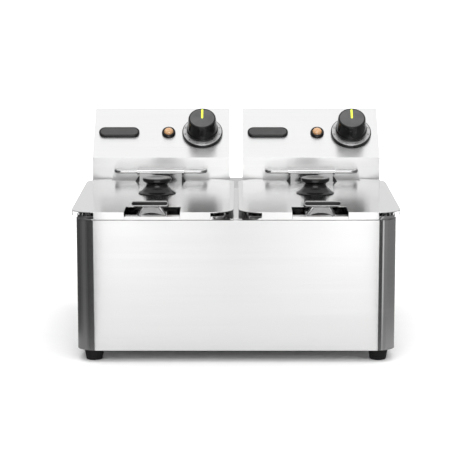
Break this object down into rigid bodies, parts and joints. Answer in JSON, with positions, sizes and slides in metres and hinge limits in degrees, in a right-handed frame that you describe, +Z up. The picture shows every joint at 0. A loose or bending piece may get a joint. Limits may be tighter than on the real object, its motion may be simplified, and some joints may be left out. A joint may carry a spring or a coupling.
{
  "type": "deep fryer",
  "caption": "Twin countertop deep fryer in stainless steel: a square-edged housing, lift-out tanks, sloping control heads, wire baskets and flat notched lids.",
  "frame": {"origin": "centre of the overall bounding box at the bottom of the feet", "axes": "+Z up, +Y from the front with the basket handles to the back with the cable glands, +X to the right as seen from the front"},
  "size_m": [0.434, 0.4547, 0.3011],
  "materials": {
    "housing_steel": "brushed stainless steel, fine horizontal grain",
    "cover_steel": "mill finish stainless sheet",
    "lid_steel": "bright stainless steel, nearly a mirror",
    "tank_steel": "deep-drawn satin stainless steel",
    "bright_steel": "polished",
    "basket_wire": "plated wire",
    "element_steel": "heat-tinted sheath",
    "screw_steel": "plated",
    "bulb_metal": "copper",
    "shaft_brass": "turned",
    "dial_silver": "satin printed ring",
    "black_gloss": "moulded, glossy sides",
    "black_matte": "moulded, fine texture",
    "badge_black": "satin plate, no marking",
    "lamp_amber": "clear amber lens",
    "control_body": "ceramic and plastic",
    "reset_red": "moulded",
    "foot_rubber": "black rubber"
  },
  "bodies": {
    "housing": {"body_shell": "housing_steel", "back_panel": "cover_steel", "base_plate": "cover_steel", "rear_deck": "cover_steel", "centre_rail": "housing_steel", "feet": "foot_rubber", "housing_screws": "screw_steel"},
    "tank_left_body": {"tank_left": "tank_steel"},
    "head_left_body": {"heating_element_left": "element_steel", "element_bridge_left": "cover_steel", "element_guard_left": "tank_steel", "sensor_bulbs_left": "bulb_metal", "head_shell_left": "housing_steel", "head_back_left": "cover_steel", "head_screws_left": "screw_steel", "hanging_bar_left": "bright_steel", "thermostats_left": "control_body", "dial_base_left": "black_gloss", "dial_ring_left": "dial_silver", "lamp_bezel_left": "black_gloss", "lamp_lens_left": "lamp_amber", "badge_left": "badge_black", "cable_gland_left": "black_matte"},
    "control_knob_left_body": {"control_knob_left": "black_gloss", "knob_shaft_left": "shaft_brass"},
    "reset_button_left_body": {"reset_button_left": "reset_red"},
    "basket_left_body": {"basket_mesh_left": "basket_wire", "basket_frame_left": "basket_wire", "basket_bracket_left": "bright_steel", "basket_grip_left": "black_matte"},
    "lid_left_body": {"lid_left": "lid_steel", "lid_bracket_left": "bright_steel", "lid_knob_left": "black_gloss"},
    "tank_right_body": {"tank_right": "tank_steel"},
    "head_right_body": {"heating_element_right": "element_steel", "element_bridge_right": "cover_steel", "element_guard_right": "tank_steel", "sensor_bulbs_right": "bulb_metal", "head_shell_right": "housing_steel", "head_back_right": "cover_steel", "head_screws_right": "screw_steel", "hanging_bar_right": "bright_steel", "thermostats_right": "control_body", "dial_base_right": "black_gloss", "dial_ring_right": "dial_silver", "lamp_bezel_right": "black_gloss", "lamp_lens_right": "lamp_amber", "badge_right": "badge_black", "cable_gland_right": "black_matte"},
    "control_knob_right_body": {"control_knob_right": "black_gloss", "knob_shaft_right": "shaft_brass"},
    "reset_button_right_body": {"reset_button_right": "reset_red"},
    "basket_right_body": {"basket_mesh_right": "basket_wire", "basket_frame_right": "basket_wire", "basket_bracket_right": "bright_steel", "basket_grip_right": "black_matte"},
    "lid_right_body": {"lid_right": "lid_steel", "lid_bracket_right": "bright_steel", "lid_knob_right": "black_gloss"}
  },
  "joints": [
    {"name": "tank_lift_left", "type": "slide", "parent": "housing", "child": "tank_left_body", "axis": [0, 0, 1], "range_m": [0, 0.16]},
    {"name": "head_lift_left", "type": "slide", "parent": "tank_left_body", "child": "head_left_body", "axis": [0, 0, 1], "range_m": [0, 0.15]},
    {"name": "basket_lift_left", "type": "slide", "parent": "head_left_body", "child": "basket_left_body", "axis": [0, 0, 1], "range_m": [0, 0.16]},
    {"name": "lid_hinge_left", "type": "hinge", "parent": "basket_left_body", "child": "lid_left_body", "pos_m": [-0.11, 0.112, 0.2142], "axis": [-1, 0, 0], "range_deg": [0, 100]},
    {"name": "control_knob_turn_left", "type": "hinge", "parent": "head_left_body", "child": "control_knob_left_body", "pos_m": [-0.05, 0.1651, 0.26305], "axis": [0, 0.6357, -0.7719], "range_deg": [0, 270]},
    {"name": "reset_press_left", "type": "slide", "parent": "head_left_body", "child": "reset_button_left_body", "axis": [0, -1, 0], "range_m": [0, 0.002], "stiffness_N_per_m": 400},
    {"name": "tank_lift_right", "type": "slide", "parent": "housing", "child": "tank_right_body", "axis": [0, 0, 1], "range_m": [0, 0.16]},
    {"name": "head_lift_right", "type": "slide", "parent": "tank_right_body", "child": "head_right_body", "axis": [0, 0, 1], "range_m": [0, 0.15]},
    {"name": "basket_lift_right", "type": "slide", "parent": "head_right_body", "child": "basket_right_body", "axis": [0, 0, 1], "range_m": [0, 0.16]},
    {"name": "lid_hinge_right", "type": "hinge", "parent": "basket_right_body", "child": "lid_right_body", "pos_m": [0.11, 0.112, 0.2142], "axis": [-1, 0, 0], "range_deg": [0, 100]},
    {"name": "control_knob_turn_right", "type": "hinge", "parent": "head_right_body", "child": "control_knob_right_body", "pos_m": [0.17, 0.1651, 0.26305], "axis": [0, 0.6357, -0.7719], "range_deg": [0, 270]},
    {"name": "reset_press_right", "type": "slide", "parent": "head_right_body", "child": "reset_button_right_body", "axis": [0, -1, 0], "range_m": [0, 0.002], "stiffness_N_per_m": 400}
  ]
}
